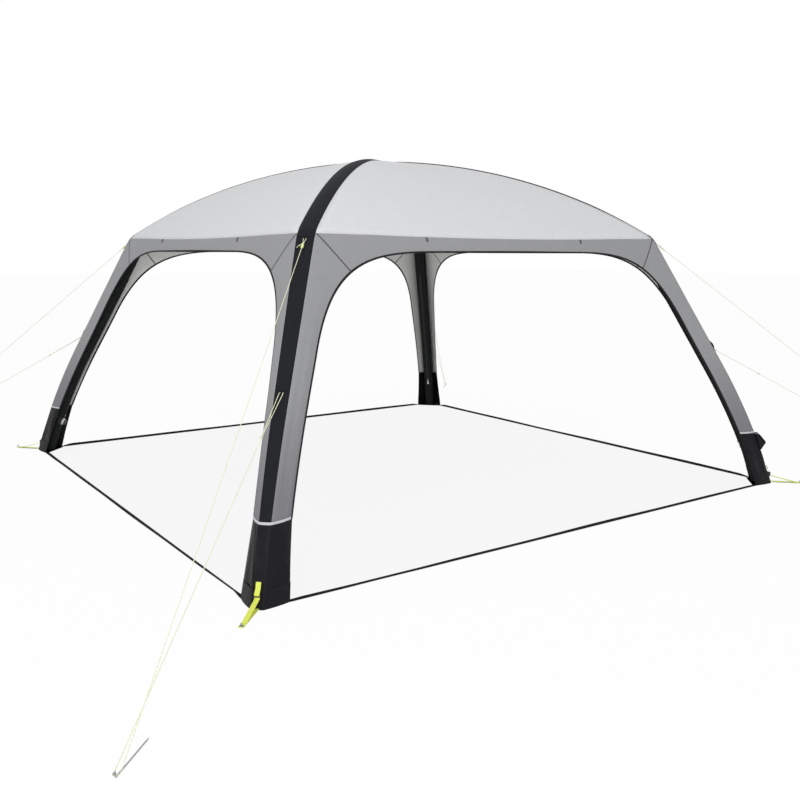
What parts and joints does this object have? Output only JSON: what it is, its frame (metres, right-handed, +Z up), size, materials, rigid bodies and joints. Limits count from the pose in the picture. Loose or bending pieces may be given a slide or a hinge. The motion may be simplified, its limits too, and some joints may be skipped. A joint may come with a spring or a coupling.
{
  "type": "beach tent",
  "caption": "Open-sided beach and event shelter: crossed inflated beams carry a domed canopy on splayed fabric-clad legs with arch openings, pegged straps and guy lines.",
  "frame": {"origin": "centre of the footprint on the ground", "axes": "+Z up; the front opening faces -Y; the legs stand on the diagonals"},
  "size_m": [5.9078, 5.9078, 2.2488],
  "materials": {
    "roof_polyester": "satin coated weave",
    "wall_polyester": "matte weave",
    "band_oxford": "matte weave",
    "sleeve_polyester": "matte weave",
    "bladder_film": "satin film",
    "boot_pvc": "satin coated weave",
    "strap_webbing": "matte webbing",
    "peg_strap_webbing": "matte webbing",
    "buckle_acetal": "satin",
    "peg_steel": "satin",
    "guy_cord": "matte braid",
    "runner_nylon": "satin",
    "valve_nylon": "satin",
    "flap_oxford": "matte weave"
  },
  "bodies": {
    "shelter": {"roof_panel_front": "roof_polyester", "roof_panel_right": "roof_polyester", "roof_panel_rear": "roof_polyester", "roof_panel_left": "roof_polyester", "eave_panel_front": "wall_polyester", "eave_panel_right": "wall_polyester", "eave_panel_rear": "wall_polyester", "eave_panel_left": "wall_polyester", "leg_panel_front_left": "wall_polyester", "leg_panel_front_right": "wall_polyester", "leg_panel_right_left": "wall_polyester", "leg_panel_right_right": "wall_polyester", "leg_panel_rear_left": "wall_polyester", "leg_panel_rear_right": "wall_polyester", "leg_panel_left_left": "wall_polyester", "leg_panel_left_right": "wall_polyester", "outer_band_left_front": "band_oxford", "outer_band_right_front": "band_oxford", "beam_sleeve_front_left": "sleeve_polyester", "beam_sleeve_front_right": "sleeve_polyester", "beam_sleeve_rear_right": "sleeve_polyester", "beam_sleeve_rear_left": "sleeve_polyester", "air_bladder": "bladder_film", "boot_front_left": "boot_pvc", "boot_front_right": "boot_pvc", "boot_rear_right": "boot_pvc", "boot_rear_left": "boot_pvc", "perimeter_strap_front": "strap_webbing", "perimeter_strap_right": "strap_webbing", "perimeter_strap_rear": "strap_webbing", "perimeter_strap_left": "strap_webbing", "peg_strap_front_left": "peg_strap_webbing", "peg_strap_front_right": "peg_strap_webbing", "peg_strap_rear_right": "peg_strap_webbing", "peg_strap_rear_left": "peg_strap_webbing", "strap_buckle_front_left": "buckle_acetal", "strap_buckle_front_right": "buckle_acetal", "strap_buckle_rear_right": "buckle_acetal", "strap_buckle_rear_left": "buckle_acetal", "guy_line_front_left": "guy_cord", "guy_line_front_right": "guy_cord", "guy_line_rear_right": "guy_cord", "guy_line_rear_left": "guy_cord", "valve_body": "valve_nylon"},
    "foot_peg_front_left": {"foot_peg_front_left": "peg_steel"},
    "foot_peg_front_right": {"foot_peg_front_right": "peg_steel"},
    "foot_peg_rear_right": {"foot_peg_rear_right": "peg_steel"},
    "foot_peg_rear_left": {"foot_peg_rear_left": "peg_steel"},
    "guy_peg_front_left": {"guy_peg_front_left": "peg_steel"},
    "guy_peg_front_right": {"guy_peg_front_right": "peg_steel"},
    "guy_peg_rear_right": {"guy_peg_rear_right": "peg_steel"},
    "guy_peg_rear_left": {"guy_peg_rear_left": "peg_steel"},
    "guy_runner_front_left": {"guy_runner_front_left": "runner_nylon"},
    "guy_runner_front_right": {"guy_runner_front_right": "runner_nylon"},
    "guy_runner_rear_right": {"guy_runner_rear_right": "runner_nylon"},
    "guy_runner_rear_left": {"guy_runner_rear_left": "runner_nylon"},
    "valve_plunger": {"valve_plunger": "valve_nylon"},
    "valve_cap": {"valve_cap": "valve_nylon"},
    "boot_flap": {"boot_flap": "flap_oxford"}
  },
  "joints": [
    {"name": "foot_peg_front_left_turn", "type": "hinge", "parent": "shelter", "child": "foot_peg_front_left", "pos_m": [-2.14991, -2.14991, 0.01], "axis": [0, 0, 1], "range_deg": [-60, 60]},
    {"name": "foot_peg_front_right_turn", "type": "hinge", "parent": "shelter", "child": "foot_peg_front_right", "pos_m": [2.14991, -2.14991, 0.01], "axis": [0, 0, 1], "range_deg": [-60, 60]},
    {"name": "foot_peg_rear_right_turn", "type": "hinge", "parent": "shelter", "child": "foot_peg_rear_right", "pos_m": [2.14991, 2.14991, 0.01], "axis": [0, 0, 1], "range_deg": [-60, 60]},
    {"name": "foot_peg_rear_left_turn", "type": "hinge", "parent": "shelter", "child": "foot_peg_rear_left", "pos_m": [-2.14991, 2.14991, 0.01], "axis": [0, 0, 1], "range_deg": [-60, 60]},
    {"name": "guy_peg_front_left_turn", "type": "hinge", "parent": "shelter", "child": "guy_peg_front_left", "pos_m": [-2.94187, -2.94187, 0.01], "axis": [0, 0, 1], "range_deg": [-60, 60]},
    {"name": "guy_peg_front_right_turn", "type": "hinge", "parent": "shelter", "child": "guy_peg_front_right", "pos_m": [2.94187, -2.94187, 0.01], "axis": [0, 0, 1], "range_deg": [-60, 60]},
    {"name": "guy_peg_rear_right_turn", "type": "hinge", "parent": "shelter", "child": "guy_peg_rear_right", "pos_m": [2.94187, 2.94187, 0.01], "axis": [0, 0, 1], "range_deg": [-60, 60]},
    {"name": "guy_peg_rear_left_turn", "type": "hinge", "parent": "shelter", "child": "guy_peg_rear_left", "pos_m": [-2.94187, 2.94187, 0.01], "axis": [0, 0, 1], "range_deg": [-60, 60]},
    {"name": "guy_runner_front_left_slide", "type": "slide", "parent": "shelter", "child": "guy_runner_front_left", "axis": [-0.5591, -0.5643, -0.6074], "range_m": [-0.04, 0.6]},
    {"name": "guy_runner_front_right_slide", "type": "slide", "parent": "shelter", "child": "guy_runner_front_right", "axis": [0.5643, -0.5591, -0.6074], "range_m": [-0.04, 0.6]},
    {"name": "guy_runner_rear_right_slide", "type": "slide", "parent": "shelter", "child": "guy_runner_rear_right", "axis": [0.5591, 0.5643, -0.6074], "range_m": [-0.04, 0.6]},
    {"name": "guy_runner_rear_left_slide", "type": "slide", "parent": "shelter", "child": "guy_runner_rear_left", "axis": [-0.5643, 0.5591, -0.6074], "range_m": [-0.04, 0.6]},
    {"name": "valve_plunger_press", "type": "slide", "parent": "shelter", "child": "valve_plunger", "axis": [-0.6529, 0.6529, 0.3842], "range_m": [0, 0.003], "stiffness_N_per_m": 150},
    {"name": "valve_cap_lid", "type": "hinge", "parent": "shelter", "child": "valve_cap", "pos_m": [-1.8411, 1.8411, 0.2542], "axis": [-0.7071, -0.7071, 0], "range_deg": [0, 110]},
    {"name": "boot_flap_lift", "type": "hinge", "parent": "shelter", "child": "boot_flap", "pos_m": [1.91592, -1.91592, 0.352], "axis": [-0.7071, -0.7071, 0], "range_deg": [0, 80]}
  ]
}
